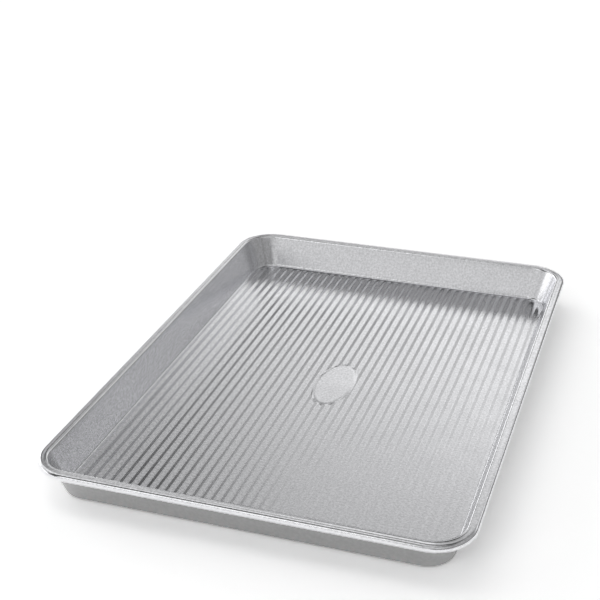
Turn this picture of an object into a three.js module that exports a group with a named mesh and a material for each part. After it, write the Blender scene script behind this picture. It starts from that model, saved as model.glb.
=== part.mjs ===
// A rimmed baking sheet: one pressed steel sheet with a grooved floor and leaning walls,
// its edge rolled round a stiffening wire.
// Millimetres, +Z up, Y along the grooves, origin on the table under the middle of the pan.

import * as THREE from "three";

// Overall size, over the outside of the rim
const PAN_LENGTH = 383;
const PAN_WIDTH = 269;
const PAN_HEIGHT = 25.4;

// The pressed sheet
const SHEET = 0.8; // thickness
const WALL_LEAN = 17.7; // degrees that the walls lean outwards from upright
const FOOT_RADIUS = 1.5; // inside the bend from the floor to the wall
const FLOOR_CORNER = 15; // radius of the level floor's corners, in plan
const RIM_CORNER = 26.6; // radius of the rim's corners, in plan, over the outside
const LIP_RADIUS = 1.2; // inside the bend from the wall to the top of the rim
const LIP_FLAT = 2.3; // level strip between that bend and the rolled bead
const CURL_SWEEP = 250; // degrees of the roll, from the top of the rim to the raw edge

// The wire inside the roll
const WIRE_DIAMETER = 2.9;
const WIRE_CLEARANCE = 0.3; // all round, to the inside of the roll
const WIRE_END_GAP = 1.2; // between the wire's two ends, in the middle of the back edge

// The grooves pressed down into the floor, with round ends, which leave ribs between them
const GROOVE_PITCH = 6.06;
const GROOVE_DEPTH = 0.9;
const GROOVE_FLAT = 1; // width of a groove's level bottom, on which the pan stands
const GROOVE_MARGIN = 1; // least width of level floor left round the grooves

// The plain oval in the middle of the floor, level with the tops of the ribs
const OVAL_LENGTH = 57;
const OVAL_WIDTH = 25;

// Fineness of the facets
const CORNER_STEPS = 8;
const CURL_STEPS = 9;
const LIP_STEPS = 4;
const FOOT_STEPS = 4;
const WIRE_SIDES = 10;
const FLANK_STEPS = 3;
const END_STEPS = 2;

const STEEL = { color: 0xb9babc, roughness: 0.38, metalness: 1 };
const WIRE_STEEL = { color: 0x9a9c9e, roughness: 0.45, metalness: 1 };

// The rim's section, as points (inset from the rim's outside, height).
const lean = THREE.MathUtils.degToRad(WALL_LEAN);
const curlRadius = WIRE_DIAMETER / 2 + WIRE_CLEARANCE;
const beadRadius = curlRadius + SHEET;
const lipOuterRadius = LIP_RADIUS + SHEET;
const beadCentre = new THREE.Vector2(beadRadius, PAN_HEIGHT - beadRadius);
const lipCentre = new THREE.Vector2(beadRadius + LIP_FLAT, PAN_HEIGHT - lipOuterRadius);
const floorLevel = GROOVE_DEPTH + SHEET; // the upper face between the grooves
const footCentre = new THREE.Vector2(0, floorLevel + FOOT_RADIUS);
const bends = lipOuterRadius + FOOT_RADIUS;
const wallLength = (lipCentre.y - footCentre.y + bends * Math.sin(lean)) / Math.cos(lean);
footCentre.x = lipCentre.x + bends * Math.cos(lean) + wallLength * Math.sin(lean);

// The plan: every outline is a rounded rectangle. Those of the rim share one set of corner
// centres, and those of the floor another. How far in from the rim's outside each set lies:
const rimReach = RIM_CORNER;
const floorReach = footCentre.x + FLOOR_CORNER;

// The field of grooves, and how far along Y it reaches at each place across the pan.
const floorCornerX = PAN_WIDTH / 2 - floorReach;
const floorCornerY = PAN_LENGTH / 2 - floorReach;
const fieldCorner = Math.max(FLOOR_CORNER - GROOVE_MARGIN, 0);
const grooveCount = Math.floor((2 * (floorCornerX + fieldCorner)) / GROOVE_PITCH);
const fieldHalfWidth = (grooveCount * GROOVE_PITCH) / 2;
const grooveHalf = GROOVE_PITCH / 2;

function arc(centre, radius, fromDegrees, toDegrees, steps) {
  return Array.from({ length: steps + 1 }, (_, i) => {
    const angle = THREE.MathUtils.degToRad(fromDegrees + ((toDegrees - fromDegrees) * i) / steps);
    return new THREE.Vector2(Math.cos(angle), Math.sin(angle)).multiplyScalar(radius).add(centre);
  });
}

// One face of the sheet up the bend at the foot of the wall.
// Depth 0 is the upper face, and depth SHEET the under face.
function footProfile(depth) {
  return arc(footCentre, FOOT_RADIUS + depth, 270, 180 + WALL_LEAN, FOOT_STEPS);
}

// The same face on from the top of the wall, over the rim to the raw edge.
function rimProfile(depth) {
  return [
    ...arc(lipCentre, lipOuterRadius - depth, WALL_LEAN, 90, LIP_STEPS),
    ...arc(beadCentre, beadRadius - depth, 90, 90 + CURL_SWEEP, CURL_STEPS),
  ];
}

// A station is a corner centre and the outward direction from it. All the way round the pan.
function roundStations(reach) {
  const stations = [];
  const corners = [
    [1, -1],
    [1, 1],
    [-1, 1],
    [-1, -1],
  ];
  const corner = new THREE.Vector2(PAN_WIDTH / 2 - reach, PAN_LENGTH / 2 - reach);
  corners.forEach((sides, quarter) => {
    for (let i = 0; i <= CORNER_STEPS; i++) {
      const angle = (Math.PI / 2) * (quarter - 1 + i / CORNER_STEPS);
      stations.push({
        reach,
        centre: new THREE.Vector2(...sides).multiply(corner),
        out: new THREE.Vector2(Math.cos(angle), Math.sin(angle)),
      });
    }
  });
  return stations;
}

function place(station, { x: inset, y: height }) {
  const p = station.centre.clone().addScaledVector(station.out, station.reach - inset);
  return new THREE.Vector3(p.x, p.y, height);
}

function ringsOf(profile, stations) {
  return profile.map((point) => stations.map((station) => place(station, point)));
}

// Triangles between two rows of points that run the same way, by the shorter diagonal.
function zip(left, right, triangles) {
  let i = 0;
  let j = 0;
  while (i < left.length - 1 || j < right.length - 1) {
    const canLeft = i < left.length - 1;
    const canRight = j < right.length - 1;
    const stepLeft =
      canLeft &&
      (!canRight ||
        left[i + 1].distanceTo(right[j]) <= left[i].distanceTo(right[j + 1]));
    if (stepLeft) {
      triangles.push([left[i], right[j], left[i + 1]]);
      i += 1;
    } else {
      triangles.push([left[i], right[j], right[j + 1]]);
      j += 1;
    }
  }
}

function closed(row) {
  return [...row, row[0]];
}

// The same ring of points, from the one nearest to the given point.
function startingNear(point, ring) {
  const distances = ring.map((p) => p.distanceTo(point));
  const nearest = distances.indexOf(Math.min(...distances));
  return [...ring.slice(nearest), ...ring.slice(0, nearest)];
}

function fieldHalfLength(x) {
  const beyond = Math.max(Math.abs(x) - floorCornerX, 0);
  return floorCornerY + Math.sqrt(Math.max(fieldCorner ** 2 - beyond ** 2, 0));
}

// Half the chord of an ellipse along Y, at x.
function ellipseChord(halfWidth, halfLength, x) {
  return halfLength * Math.sqrt(Math.max(1 - (x / halfWidth) ** 2, 0));
}

// Distance outside the oval, which counts only up to half a groove.
function beyondOval(x, y) {
  const inner = Math.hypot((2 * x) / OVAL_WIDTH, (2 * y) / OVAL_LENGTH);
  const outer = Math.hypot(x / (OVAL_WIDTH / 2 + grooveHalf), y / (OVAL_LENGTH / 2 + grooveHalf));
  if (inner <= 1) return 0;
  if (outer >= 1) return grooveHalf;
  return (grooveHalf * (inner - 1)) / (inner - outer);
}

// Depth of the grooves below the level floor. They end in half rounds.
function grooveDepth(x, y) {
  const phase = (x + fieldHalfWidth) / GROOVE_PITCH;
  const across = GROOVE_PITCH * Math.abs(phase - Math.floor(phase) - 0.5);
  const toEnd = Math.min(fieldHalfLength(x) - Math.abs(y), beyondOval(x, y));
  const away = Math.hypot(across, Math.max(grooveHalf - toEnd, 0));
  return GROOVE_DEPTH * (1 - THREE.MathUtils.smoothstep(away, GROOVE_FLAT / 2, grooveHalf));
}

// The places along Y where a line of the field at x bends, from the front to the back.
function fieldRows(x) {
  const end = fieldHalfLength(x);
  const rows = new Set();
  for (let i = 0; i <= END_STEPS; i++) rows.add(end - (grooveHalf * i) / END_STEPS);
  const grown = ellipseChord(OVAL_WIDTH / 2 + grooveHalf, OVAL_LENGTH / 2 + grooveHalf, x);
  const oval = ellipseChord(OVAL_WIDTH / 2, OVAL_LENGTH / 2, x);
  if (grown > 0) {
    for (let i = 0; i <= END_STEPS; i++) rows.add(oval + ((grown - oval) * i) / END_STEPS);
  }
  const besideOval = Math.abs(x) < OVAL_WIDTH / 2 + GROOVE_PITCH;
  if (besideOval) rows.add(OVAL_LENGTH / 2 + GROOVE_PITCH);
  const ends = [...rows].sort((a, b) => a - b);
  return [...ends.filter((y) => y > 0).reverse().map((y) => -y), ...ends];
}

// The places across the pan where the field's section bends, from left to right.
function fieldColumns() {
  const flank = Array.from({ length: FLANK_STEPS }, (_, i) =>
    THREE.MathUtils.lerp(GROOVE_FLAT / 2, grooveHalf, i / FLANK_STEPS),
  );
  const bends = [-grooveHalf, ...flank.map((x) => -x).reverse(), ...flank];
  const middles = Array.from(
    { length: grooveCount },
    (_, i) => -fieldHalfWidth + (i + 0.5) * GROOVE_PITCH,
  );
  return [...middles.flatMap((middle) => bends.map((x) => middle + x)), fieldHalfWidth];
}

// Lines of points along the grooves, from left to right, on a floor at the given level.
function fieldLines(level) {
  return fieldColumns().map((x) =>
    fieldRows(x).map((y) => new THREE.Vector3(x, y, level - grooveDepth(x, y))),
  );
}

// The edge of the field, anticlockwise seen from above, from the front right corner.
function fieldEdge(lines) {
  const last = lines.length - 1;
  return [
    ...lines[last],
    ...lines.slice(0, last).reverse().map((line) => line[line.length - 1]),
    ...lines[0].slice(0, -1).reverse(),
    ...lines.slice(1, last).map((line) => line[0]),
  ];
}

// One face of the whole pan, facing up and into the pan.
function panFace(depth) {
  const triangles = [];
  const rings = [
    ...ringsOf(footProfile(depth), roundStations(floorReach)),
    ...ringsOf(rimProfile(depth), roundStations(rimReach)),
  ];
  for (let i = 0; i < rings.length - 1; i++) {
    zip(closed(rings[i]), closed(rings[i + 1]), triangles);
  }
  const lines = fieldLines(floorLevel - depth);
  for (let i = 0; i < lines.length - 1; i++) zip(lines[i], lines[i + 1], triangles);
  const edge = fieldEdge(lines);
  zip(closed(edge), closed(startingNear(edge[0], rings[0])), triangles);
  return { triangles, rawEdge: rings[rings.length - 1] };
}

function geometryOf(triangles) {
  return new THREE.BufferGeometry().setFromPoints(triangles.flat());
}

function panBody() {
  const upper = panFace(0);
  const under = panFace(SHEET);
  const triangles = [...upper.triangles, ...under.triangles.map(([a, b, c]) => [a, c, b])];
  zip(closed(upper.rawEdge), closed(under.rawEdge), triangles);
  const mesh = new THREE.Mesh(geometryOf(triangles), new THREE.MeshStandardMaterial(STEEL));
  mesh.name = "pan_body";
  return mesh;
}

// The wire runs right round the rim, and its square ends meet at the middle of the back edge.
function rimWire() {
  const round = roundStations(rimReach);
  const backLeft = round.findIndex((s) => s.centre.x < 0 && s.centre.y > 0);
  const backMiddle = (x) => ({
    reach: rimReach,
    centre: new THREE.Vector2(x, PAN_LENGTH / 2 - rimReach),
    out: new THREE.Vector2(0, 1),
  });
  const route = [
    backMiddle(-WIRE_END_GAP / 2),
    ...round.slice(backLeft),
    ...round.slice(0, backLeft),
    backMiddle(WIRE_END_GAP / 2),
  ];
  const section = arc(beadCentre, WIRE_DIAMETER / 2, 360, 0, WIRE_SIDES).slice(0, -1);
  const rings = route.map((station) => section.map((point) => place(station, point)));
  const triangles = [];
  for (let i = 0; i < rings.length - 1; i++) zip(closed(rings[i]), closed(rings[i + 1]), triangles);
  for (let i = 1; i < WIRE_SIDES - 1; i++) {
    const [first, last] = [rings[0], rings[rings.length - 1]];
    triangles.push([first[0], first[i], first[i + 1]]);
    triangles.push([last[0], last[i + 1], last[i]]);
  }
  const mesh = new THREE.Mesh(geometryOf(triangles), new THREE.MeshStandardMaterial(WIRE_STEEL));
  mesh.name = "rim_wire";
  return mesh;
}

const bakingSheet = new THREE.Group();
bakingSheet.add(panBody(), rimWire());

export default bakingSheet;
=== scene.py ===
import math

import bpy
import numpy as np
from mathutils import Matrix, Vector


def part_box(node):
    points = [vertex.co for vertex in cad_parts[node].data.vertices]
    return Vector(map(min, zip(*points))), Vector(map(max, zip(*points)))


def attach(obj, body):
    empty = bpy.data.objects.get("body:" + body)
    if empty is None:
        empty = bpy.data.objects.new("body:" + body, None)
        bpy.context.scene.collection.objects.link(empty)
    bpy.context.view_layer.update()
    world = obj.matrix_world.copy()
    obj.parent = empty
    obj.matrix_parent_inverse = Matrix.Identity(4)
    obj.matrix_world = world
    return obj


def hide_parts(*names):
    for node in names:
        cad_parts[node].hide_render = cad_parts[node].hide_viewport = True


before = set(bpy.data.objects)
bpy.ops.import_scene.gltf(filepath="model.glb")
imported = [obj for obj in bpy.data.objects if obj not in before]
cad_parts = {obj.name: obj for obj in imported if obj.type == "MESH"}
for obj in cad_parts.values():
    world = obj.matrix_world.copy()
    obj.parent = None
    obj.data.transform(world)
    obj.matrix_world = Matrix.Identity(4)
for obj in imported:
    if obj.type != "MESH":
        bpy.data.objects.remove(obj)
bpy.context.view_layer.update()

# A rimmed baking sheet in satin aluminised steel, pressed in one piece with a grooved floor.
# Metres and degrees, +Z up, Y along the grooves.
MM = 0.001

# The pressed sheet and its section
SHEET = 0.8 * MM
WALL_LEAN = 17.7
FOOT_RADIUS = 1.5 * MM
FLOOR_CORNER = 15 * MM
RIM_CORNER = 26.6 * MM
LIP_RADIUS = 1.2 * MM
LIP_FLAT = 2.3 * MM
CURL_SWEEP = 250
CURL_RADIUS = 1.75 * MM

# Marks that pressing leaves: a crease along the rim's flat, its deepest place as a share of the
# flat, how far the rim slopes off at the corners, and the waves in each corner of the wall
CREASE_DEPTH = 0.1 * MM
CREASE_PLACE = 0.3
CORNER_DROP = 0.3 * MM
WAVE_DEPTH = 0.03 * MM
WAVE_COUNT = 3

# The grooves and the plain oval in the floor. The grooves are shallower on the upper face. The
# tip is the rounded share of a groove's side at either end
GROOVE_PITCH = 6.06 * MM
UNDER_GROOVE_DEPTH = 0.9 * MM
UPPER_GROOVE_DEPTH = 0.45 * MM
GROOVE_TIP = 0.15
GROOVE_MARGIN = 1 * MM
OVAL_LENGTH = 57 * MM
OVAL_WIDTH = 25 * MM
OVAL_FADE = 1.6 * MM
OUTLINE_WIDTH = 0.5 * MM
OUTLINE_DEPTH = 0.12 * MM

# Fineness of the mesh
FOOT_STEPS = 12
WALL_STEPS = 8
LIP_STEPS = 12
FLAT_STEPS = 14
CURL_STEPS = 40
CORNER_STEPS = 48
SIDE_STEPS = 16
GROOVE_STEPS = 20
END_STEPS = 8
PLAIN_STEPS = 8
OVAL_STEPS = 90
TINY = 1e-9

# The metals. A noise's scale is per metre, and its middle part, from low to high, is spread over
# the whole of a colour or a roughness
NOISE_LOW = 0.3
NOISE_HIGH = 0.7
SHEET_METAL = {
    "colours": [(0.71, 0.712, 0.728, 1), (0.886, 0.889, 0.91, 1)],
    "roughness": (0.18, 0.22),
    "grain": (700, 1),
    "cloud": (45, 2),
    "bump": (0.25, 0.03 * MM),
}
# The under face: bare and rougher is its real finish, but its colours are darkened as painted
# shade, standing for the shaded floor that the outer walls reflect under the rim
BARE_METAL_WITH_PAINTED_SHADE = {
    "colours": [(0.39, 0.39, 0.39, 1), (0.45, 0.45, 0.45, 1)],
    "roughness": (0.32, 0.38),
    "grain": (500, 3),
    "cloud": (60, 2),
    "bump": (0.2, 0.03 * MM),
}
WIRE_COLOUR = (0.5, 0.505, 0.51, 1)
WIRE_ROUGHNESS = (0.36, 0.5)
WIRE_GRAIN = (900, 3)
WIRE_BUMP = (0.2, 0.02 * MM)

# The camera
CAMERA_AIM = Vector((-67.21, 123.48, 0)) * MM
CAMERA_AZIMUTH = math.radians(19.034)
CAMERA_ELEVATION = math.radians(25.888)
CAMERA_ROLL = math.radians(-0.759)
CAMERA_DISTANCE = 989.99 * MM
CAMERA_LENS = 74.137
CAMERA_SENSOR = 36

# The pale studio floor: its own colour, and what the camera and the metal see of it
FLOOR_SIZE = 60
FLOOR_COLOUR = 0.8
FLOOR_SEEN = 2.05
FLOOR_GAP = 0.2 * MM

# The studio's soft lights: azimuth from the back towards +X, half width, low and high edge of
# elevation, softness of the edges, strength
LIGHTS = {
    "back": (3.5, 36.5, 21, 32.5, 5, 0.74),
    "back_high": (-2, 14.5, 23, 51, 9.5, 0.52),
    "back_low": (30, 42, -8, 14, 4, 0.22),
    "low_left": (-49, 25.5, -5, 12.5, 3, 1.9),
    "left_mid": (-65, 9.5, 11.5, 43.5, 5.5, 0.51),
    "high_left": (-61, 36.5, 35.5, 82, 7, 0.65),
    "right": (71, 48.5, 15.5, 61.5, 3, 0.37),
    "right_low": (95, 25, -8, 14.5, 5, 0.32),
    "front_right": (153.5, 31.5, 17, 60.5, 6.5, 0.6),
    "front_low": (219.5, 53.5, -8, 15, 5.5, 0.77),
    "front": (206.5, 16, 17.5, 49.5, 3.5, 1.24),
    "front_high": (184, 26, 52, 70, 8, 0.3),
    "left": (279, 27, -8, 27, 5.5, 0.91),
    "left_high": (272, 15.5, 29.5, 70, 7, 0.42),
}
# The light overhead grows from the first elevation to the second
OVERHEAD_START = 66
OVERHEAD_FULL = 80
OVERHEAD_STRENGTH = 0.6
ROOM_STRENGTH = 0.02

# The section of the rim, as points (inset from the rim's outside, height)
rim_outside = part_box("pan_body")[1]
lean = math.radians(WALL_LEAN)
bead_radius = CURL_RADIUS + SHEET
lip_outer = LIP_RADIUS + SHEET
bead_centre = np.array([bead_radius, rim_outside.z - bead_radius])
lip_centre = np.array([bead_radius + LIP_FLAT, rim_outside.z - lip_outer])
floor_level = UNDER_GROOVE_DEPTH + SHEET
bends = lip_outer + FOOT_RADIUS
wall_drop = lip_centre[1] - floor_level - FOOT_RADIUS
wall_length = (wall_drop + bends * math.sin(lean)) / math.cos(lean)
foot_inset = lip_centre[0] + bends * math.cos(lean) + wall_length * math.sin(lean)
foot_centre = np.array([foot_inset, floor_level + FOOT_RADIUS])

# The plan: rounded rectangles. Those of the rim share one set of corner centres, and those of
# the floor another, each so far in from the rim's outside
rim_reach = RIM_CORNER
floor_reach = foot_inset + FLOOR_CORNER
floor_corner = np.array([rim_outside.x, rim_outside.y]) - floor_reach

# The field of grooves
field_corner = FLOOR_CORNER - GROOVE_MARGIN
groove_count = math.floor(2 * (floor_corner[0] + field_corner) / GROOVE_PITCH)
field_half_width = groove_count * GROOVE_PITCH / 2
groove_half = GROOVE_PITCH / 2


def arc(centre, radius, start, end, steps):
    angles = np.radians(np.linspace(start, end, steps + 1))
    return centre + radius * np.stack([np.cos(angles), np.sin(angles)], axis=1)


def between(start, end, steps):
    share = np.linspace(0, 1, steps + 1)[1:-1, None]
    return start + (end - start) * share


def smoothstep(value, start, end):
    share = np.clip((value - start) / (end - start), 0, 1)
    return share * share * (3 - 2 * share)


def foot_profile(depth):
    """One face of the sheet up the bend at the foot of the wall. Depth 0 is the upper face."""
    return arc(foot_centre, FOOT_RADIUS + depth, 270, 180 + WALL_LEAN, FOOT_STEPS)


def rim_profile(depth):
    """The same face on from the top of the wall, over the rim to the raw edge."""
    lip = arc(lip_centre, lip_outer - depth, WALL_LEAN, 90, LIP_STEPS)
    curl = arc(bead_centre, bead_radius - depth, 90, 90 + CURL_SWEEP, CURL_STEPS)
    flat = between(lip[-1], curl[0], FLAT_STEPS)
    share = (lip[-1, 0] - flat[:, 0]) / (lip[-1, 0] - curl[0, 0])
    crease = smoothstep(share, 0, CREASE_PLACE) * smoothstep(share, 1, CREASE_PLACE)
    flat[:, 1] -= CREASE_DEPTH * crease
    return np.concatenate([lip, flat, curl])


def stations(reach):
    """The points of a ring, anticlockwise from the front right corner: the corner centre that
    each belongs to, its outward direction, and its share of the corner's turn."""
    centres = []
    outs = []
    turns = []
    half = np.array([rim_outside.x, rim_outside.y]) - reach
    corners = np.array([[1, -1], [1, 1], [-1, 1], [-1, -1]]) * half
    for corner, centre in enumerate(corners):
        turn = arc(np.zeros(2), 1, 90 * (corner - 1), 90 * corner, CORNER_STEPS)
        side = between(centre, corners[(corner + 1) % 4], SIDE_STEPS)
        centres += [centre] * len(turn) + list(side)
        outs += list(turn) + [turn[-1]] * len(side)
        turns += list(np.linspace(0, 1, len(turn))) + [0] * len(side)
    return np.array(centres), np.array(outs), np.array(turns)


def rings_of(profile, reach):
    """Rings of points round the pan, one for each point of a profile."""
    centres, outs = stations(reach)[:2]
    rings = []
    for inset, height in profile:
        plan = centres + outs * (reach - inset)
        rings.append(np.column_stack([plan, np.full(len(plan), height)]))
    return np.array(rings)


def rim_rings(depth):
    """The rim, whose top slopes off outwards at the corners."""
    profile = rim_profile(depth)
    turns = stations(rim_reach)[2]
    rings = rings_of(profile, rim_reach)
    slope = smoothstep(profile[:, 0], lip_centre[0], bead_centre[0])
    rings[:, :, 2] -= CORNER_DROP * slope[:, None] * np.sin(np.pi * turns) ** 2
    return rings


def wall_rings(depth):
    """All the rings from the floor up the wall and over the rim to the raw edge. The wall has
    faint waves in the corners, where the sheet was drawn."""
    foot = rings_of(foot_profile(depth), floor_reach)
    rim = rim_rings(depth)
    share = np.linspace(0, 1, WALL_STEPS + 1)[1:-1, None, None]
    wall = foot[-1] + (rim[0] - foot[-1]) * share
    outs, turns = stations(rim_reach)[1:]
    wave = WAVE_DEPTH * np.sin(2 * np.pi * WAVE_COUNT * turns) * np.sin(np.pi * turns)
    wall[:, :, :2] += np.sin(np.pi * share) * wave[:, None] * outs
    return np.concatenate([foot, wall, rim])


def field_half_length(x):
    beyond = np.maximum(np.abs(x) - floor_corner[0], 0)
    return floor_corner[1] + np.sqrt(np.maximum(field_corner**2 - beyond**2, 0))


def oval_radius(x, y, grow):
    return np.hypot(x / (OVAL_WIDTH / 2 + grow), y / (OVAL_LENGTH / 2 + grow))


def fold(share):
    """A straight slope from 1 down to 0, rounded at both ends."""
    share = np.clip(share, 0, 1)
    near = np.minimum(share, 1 - share)
    tip = np.minimum(near, GROOVE_TIP) ** 2 / (2 * GROOVE_TIP)
    drop = (tip + np.maximum(near - GROOVE_TIP, 0)) / (1 - GROOVE_TIP)
    return np.where(share < 0.5, 1 - drop, drop)


def field_height(x, y, groove_depth):
    """Height over the level floor: grooves with round ends, and the line round the oval."""
    phase = (x + field_half_width) / GROOVE_PITCH
    across = GROOVE_PITCH * np.abs(phase - np.floor(phase) - 0.5)
    inside = np.maximum(oval_radius(x, y, 0) - 1, 0)
    outside = np.maximum(1 - oval_radius(x, y, OVAL_FADE), 0)
    beyond_oval = groove_half * inside / np.maximum(inside + outside, TINY)
    to_end = np.minimum(field_half_length(x) - np.abs(y), beyond_oval)
    away = np.hypot(across, np.maximum(groove_half - to_end, 0))
    groove = groove_depth * fold(away / groove_half)
    line = (oval_radius(x, y, 0) - 1) * OVAL_WIDTH / 2
    return -groove - OUTLINE_DEPTH * np.exp(-((line / OUTLINE_WIDTH) ** 2))


def field_grid(level, groove_depth):
    """The grooved floor as a grid of points, columns across the pan by rows along it."""
    x = np.linspace(-field_half_width, field_half_width, groove_count * GROOVE_STEPS + 1)
    ends = field_half_length(x)
    oval_end = OVAL_LENGTH / 2 + groove_half
    end_rows = np.linspace(0, groove_half, END_STEPS + 1)
    oval_rows = np.linspace(-oval_end, oval_end, OVAL_STEPS + 1)
    columns = []
    for place, end in zip(x, ends):
        plain = np.linspace(end - groove_half, oval_end, PLAIN_STEPS + 1)[1:-1]
        back = np.concatenate([end - end_rows, plain])
        y = np.concatenate([-back, oval_rows, back[::-1]])
        height = level + field_height(place, y, groove_depth)
        columns.append(np.column_stack([np.full(len(y), place), y, height]))
    return np.array(columns)


def grid_faces(index, closed=False):
    """Quads over a two-way array of vertex numbers, closed on its second way or not."""
    if closed:
        index = np.concatenate([index, index[:, :1]], axis=1)
    corners = [index[:-1, :-1], index[1:, :-1], index[1:, 1:], index[:-1, 1:]]
    return np.stack(corners, axis=-1).reshape(-1, 4).tolist()


def strip_faces(points, inner, outer):
    """Triangles between two closed rows of vertex numbers, by the shorter diagonal."""
    start = np.argmin(np.linalg.norm(points[outer] - points[inner[0]], axis=1))
    inner = [*inner, inner[0]]
    outer = [*np.roll(outer, -start), outer[start]]
    faces = []
    i = 0
    j = 0
    while i < len(inner) - 1 or j < len(outer) - 1:
        step_inner = j == len(outer) - 1
        if i < len(inner) - 1 and not step_inner:
            to_inner = np.linalg.norm(points[inner[i + 1]] - points[outer[j]])
            to_outer = np.linalg.norm(points[inner[i]] - points[outer[j + 1]])
            step_inner = to_inner <= to_outer
        if step_inner:
            faces.append([inner[i], outer[j], inner[i + 1]])
            i += 1
        else:
            faces.append([inner[i], outer[j], outer[j + 1]])
            j += 1
    return faces


def skin(depth, groove_depth, first):
    """One face of the whole sheet: its points, its faces, and its raw edge."""
    grid = field_grid(floor_level - depth, groove_depth)
    rings = wall_rings(depth)
    points = np.concatenate([grid.reshape(-1, 3), rings.reshape(-1, 3)])
    field = np.arange(grid.shape[0] * grid.shape[1]).reshape(grid.shape[:2])
    rim = field.size + np.arange(rings.shape[0] * rings.shape[1]).reshape(rings.shape[:2])
    edge = np.concatenate([field[-1, :-1], field[:0:-1, -1], field[0, :0:-1], field[:-1, 0]])
    faces = grid_faces(field) + grid_faces(rim, closed=True) + strip_faces(points, edge, rim[0])
    return points, [[first + int(v) for v in face] for face in faces], first + rim[-1]


def mesh_object(name, points, faces, material):
    mesh = bpy.data.meshes.new(name)
    mesh.from_pydata([tuple(p) for p in points], [], faces)
    mesh.polygons.foreach_set("use_smooth", [True] * len(mesh.polygons))
    mesh.materials.append(material)
    mesh.update()
    piece = bpy.data.objects.new(name, mesh)
    bpy.context.scene.collection.objects.link(piece)
    return piece


def pan_shell(upper_material, under_material):
    """The whole sheet: an upper and an under face, joined along the raw edge."""
    upper, upper_faces, upper_edge = skin(0, UPPER_GROOVE_DEPTH, 0)
    under, under_faces, under_edge = skin(SHEET, UNDER_GROOVE_DEPTH, len(upper))
    faces = upper_faces + [face[::-1] for face in under_faces]
    faces += grid_faces(np.stack([upper_edge, under_edge]), closed=True)
    shell = mesh_object("pan_shell", np.concatenate([upper, under]), faces, upper_material)
    shell.data.materials.append(under_material)
    sides = [0] * len(upper_faces) + [1] * (len(faces) - len(upper_faces))
    shell.data.polygons.foreach_set("material_index", sides)
    return shell


def new_material(name):
    material = bpy.data.materials.new(name)
    material.use_nodes = True
    nodes = material.node_tree.nodes
    return nodes, material.node_tree.links, nodes["Principled BSDF"], material


def noise(nodes, links, place, scale, detail):
    node = nodes.new("ShaderNodeTexNoise")
    node.inputs["Scale"].default_value = scale
    node.inputs["Detail"].default_value = detail
    links.new(place, node.inputs["Vector"])
    return node.outputs["Fac"]


def spread(nodes, links, value, low_end, high_end):
    node = nodes.new("ShaderNodeMapRange")
    node.inputs["From Min"].default_value = NOISE_LOW
    node.inputs["From Max"].default_value = NOISE_HIGH
    node.inputs["To Min"].default_value = low_end
    node.inputs["To Max"].default_value = high_end
    links.new(value, node.inputs["Value"])
    return node.outputs["Result"]


def roughen(nodes, links, shader, height, strength, distance):
    bump = nodes.new("ShaderNodeBump")
    bump.inputs["Strength"].default_value = strength
    bump.inputs["Distance"].default_value = distance
    links.new(height, bump.inputs["Height"])
    links.new(bump.outputs["Normal"], shader.inputs["Normal"])


def steel(name, metal):
    """Satin aluminised steel: neutral grey, with a fine sparkle and broad faint clouds."""
    nodes, links, shader, material = new_material(name)
    place = nodes.new("ShaderNodeTexCoord").outputs["Object"]
    grain = noise(nodes, links, place, *metal["grain"])
    cloud = noise(nodes, links, place, *metal["cloud"])
    shader.inputs["Metallic"].default_value = 1
    ramp = nodes.new("ShaderNodeValToRGB")
    ends = zip(ramp.color_ramp.elements, (NOISE_LOW, NOISE_HIGH), metal["colours"])
    for element, position, colour in ends:
        element.position = position
        element.color = colour
    links.new(grain, ramp.inputs["Fac"])
    links.new(ramp.outputs["Color"], shader.inputs["Base Color"])
    links.new(spread(nodes, links, cloud, *metal["roughness"]), shader.inputs["Roughness"])
    roughen(nodes, links, shader, grain, *metal["bump"])
    return material


def sheet_steel():
    """The upper face, under its clear release coat."""
    return steel("sheet_steel", SHEET_METAL)


# Painted shade: this face's darker colour stands for the shaded floor that the outer walls
# reflect
def bare_steel_with_painted_shade():
    """The under face, which has no release coat: duller, and darker in colour as painted shade
    for the shaded floor that the outer wall reflects under the rim.
    """
    return steel("bare_steel_with_painted_shade", BARE_METAL_WITH_PAINTED_SHADE)


def wire_steel():
    """Drawn steel wire: a little duller, with a fine grain."""
    nodes, links, shader, material = new_material("wire_steel")
    place = nodes.new("ShaderNodeTexCoord").outputs["Object"]
    grain = noise(nodes, links, place, *WIRE_GRAIN)
    shader.inputs["Base Color"].default_value = WIRE_COLOUR
    shader.inputs["Metallic"].default_value = 1
    links.new(spread(nodes, links, grain, *WIRE_ROUGHNESS), shader.inputs["Roughness"])
    roughen(nodes, links, shader, grain, *WIRE_BUMP)
    return material


def make_camera():
    back = Vector((
        math.sin(CAMERA_AZIMUTH) * math.cos(CAMERA_ELEVATION),
        -math.cos(CAMERA_AZIMUTH) * math.cos(CAMERA_ELEVATION),
        math.sin(CAMERA_ELEVATION),
    ))
    right = Vector((0, 0, 1)).cross(back).normalized()
    axes = Matrix((right, back.cross(right), back)).transposed()
    camera = bpy.data.objects.new("camera", bpy.data.cameras.new("camera"))
    camera.data.lens = CAMERA_LENS
    camera.data.sensor_width = CAMERA_SENSOR
    roll = Matrix.Rotation(CAMERA_ROLL, 3, "Z")
    camera.matrix_world = Matrix.LocRotScale(
        CAMERA_AIM + back * CAMERA_DISTANCE, (axes @ roll).to_quaternion(), None
    )
    bpy.context.scene.collection.objects.link(camera)
    bpy.context.scene.camera = camera


def fade_in(nodes, links, value, start, end):
    node = nodes.new("ShaderNodeMapRange")
    node.interpolation_type = "SMOOTHSTEP"
    node.inputs["From Min"].default_value = start
    node.inputs["From Max"].default_value = end
    links.new(value, node.inputs["Value"])
    return node.outputs["Result"]


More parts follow.
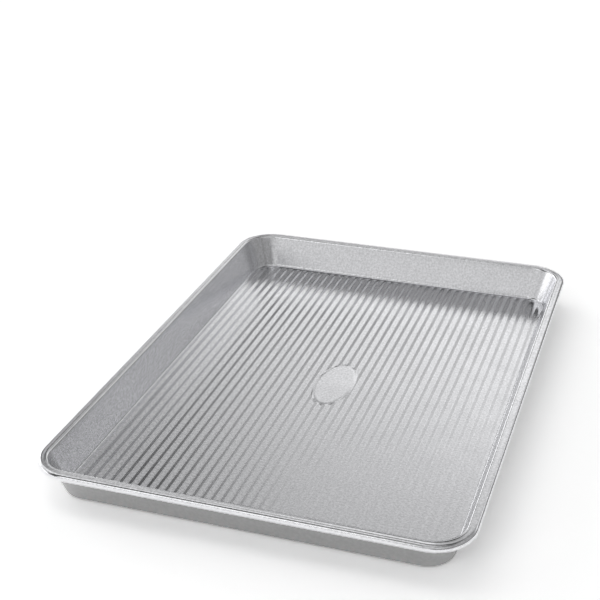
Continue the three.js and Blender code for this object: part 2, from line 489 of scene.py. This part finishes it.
def math_node(nodes, links, operation, a, b):
    node = nodes.new("ShaderNodeMath")
    node.operation = operation
    for socket, value in zip(node.inputs, (a, b)):
        if isinstance(value, (int, float)):
            socket.default_value = value
        else:
            links.new(value, socket)
    return node.outputs["Value"]


def sine(degrees):
    return math.sin(math.radians(degrees))


def cosine(degrees):
    return math.cos(math.radians(degrees))


def soft_light(nodes, links, flat, height, light):
    """One soft panel on the sky: bright within its edges, fading out over its softness."""
    azimuth, half_width, low_edge, high_edge, softness, strength = light
    facing = nodes.new("ShaderNodeVectorMath")
    facing.operation = "DOT_PRODUCT"
    facing.inputs[1].default_value = (sine(azimuth), cosine(azimuth), 0)
    links.new(flat, facing.inputs[0])
    wide = [cosine(half_width + softness), cosine(half_width - softness)]
    lower = [sine(low_edge - softness), sine(low_edge + softness)]
    upper = [sine(high_edge + softness), sine(high_edge - softness)]
    across = fade_in(nodes, links, facing.outputs["Value"], *wide)
    above = fade_in(nodes, links, height, *lower)
    below = fade_in(nodes, links, height, *upper)
    panel = math_node(nodes, links, "MULTIPLY", above, below)
    panel = math_node(nodes, links, "MULTIPLY", panel, across)
    return math_node(nodes, links, "MULTIPLY", panel, strength)


def make_world():
    """A dim room with soft lights all round and one overhead."""
    world = bpy.data.worlds.new("studio")
    world.use_nodes = True
    nodes = world.node_tree.nodes
    links = world.node_tree.links
    direction = nodes.new("ShaderNodeTexCoord").outputs["Generated"]
    split = nodes.new("ShaderNodeSeparateXYZ")
    links.new(direction, split.inputs["Vector"])
    height = split.outputs["Z"]
    level = nodes.new("ShaderNodeVectorMath")
    level.operation = "MULTIPLY"
    level.inputs[1].default_value = (1, 1, 0)
    links.new(direction, level.inputs[0])
    flat = nodes.new("ShaderNodeVectorMath")
    flat.operation = "NORMALIZE"
    links.new(level.outputs["Vector"], flat.inputs[0])
    overhead = fade_in(nodes, links, height, sine(OVERHEAD_START), sine(OVERHEAD_FULL))
    overhead = math_node(nodes, links, "MULTIPLY", overhead, OVERHEAD_STRENGTH)
    total = math_node(nodes, links, "ADD", overhead, ROOM_STRENGTH)
    for light in LIGHTS.values():
        panel = soft_light(nodes, links, flat.outputs["Vector"], height, light)
        total = math_node(nodes, links, "ADD", panel, total)
    links.new(total, nodes["Background"].inputs["Strength"])
    nodes["Background"].inputs["Color"].default_value = (1, 1, 1, 1)
    bpy.context.scene.world = world


def floor_paint():
    """Pale paint that the camera and the metal see as white."""
    nodes, links, shader, material = new_material("floor_paint")
    nodes.remove(shader)
    diffuse = nodes.new("ShaderNodeBsdfDiffuse")
    ray = nodes.new("ShaderNodeLightPath").outputs
    seen = math_node(nodes, links, "MAXIMUM", ray["Is Camera Ray"], ray["Is Glossy Ray"])
    seen = math_node(nodes, links, "MAXIMUM", seen, ray["Is Transmission Ray"])
    shade = nodes.new("ShaderNodeMapRange")
    shade.inputs["To Min"].default_value = FLOOR_COLOUR
    shade.inputs["To Max"].default_value = FLOOR_SEEN
    links.new(seen, shade.inputs["Value"])
    links.new(shade.outputs["Result"], diffuse.inputs["Color"])
    links.new(diffuse.outputs["BSDF"], nodes["Material Output"].inputs["Surface"])
    return material


def make_floor():
    half = FLOOR_SIZE / 2
    corners = [(-half, -half), (half, -half), (half, half), (-half, half)]
    points = [(x, y, -FLOOR_GAP) for x, y in corners]
    mesh_object("floor", points, [[0, 1, 2, 3]], floor_paint())


make_camera()
make_floor()
make_world()
bpy.context.scene.view_settings.view_transform = "Standard"

shell = pan_shell(sheet_steel(), bare_steel_with_painted_shade())
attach(shell, "root")
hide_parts("pan_body")

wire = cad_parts["rim_wire"]
wire.data.materials.clear()
wire.data.materials.append(wire_steel())
